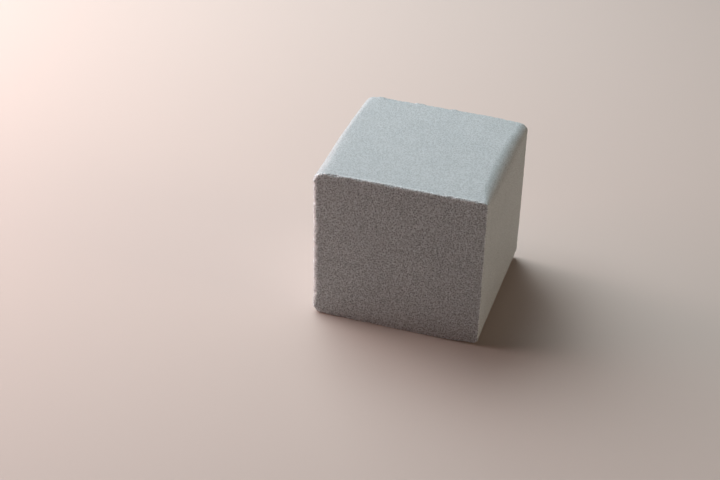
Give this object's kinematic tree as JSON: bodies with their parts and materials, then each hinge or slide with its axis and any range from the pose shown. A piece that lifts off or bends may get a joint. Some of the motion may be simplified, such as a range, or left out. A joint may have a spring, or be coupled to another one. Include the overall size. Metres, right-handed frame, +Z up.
{
  "type": "floral foam cube",
  "caption": "Small cube of fine-celled rigid floral foam, cut square from a bar: two flat cut ends, four softly worn long edges, six flat faces for stems, pins or glue.",
  "frame": {"origin": "centre of the base face's bounding rectangle, on the plane the block stands on", "axes": "+Z up out of the top face; -Y out of the front cut end; +X out of the right side; the worn long edges run along Y"},
  "size_m": [0.03, 0.029, 0.0286],
  "materials": {
    "foam": "fully matte, powdery, blue-grey, fine cells of a fraction of a millimetre"
  },
  "bodies": {
    "root": {"foam_block": "foam"}
  },
  "joints": []
}
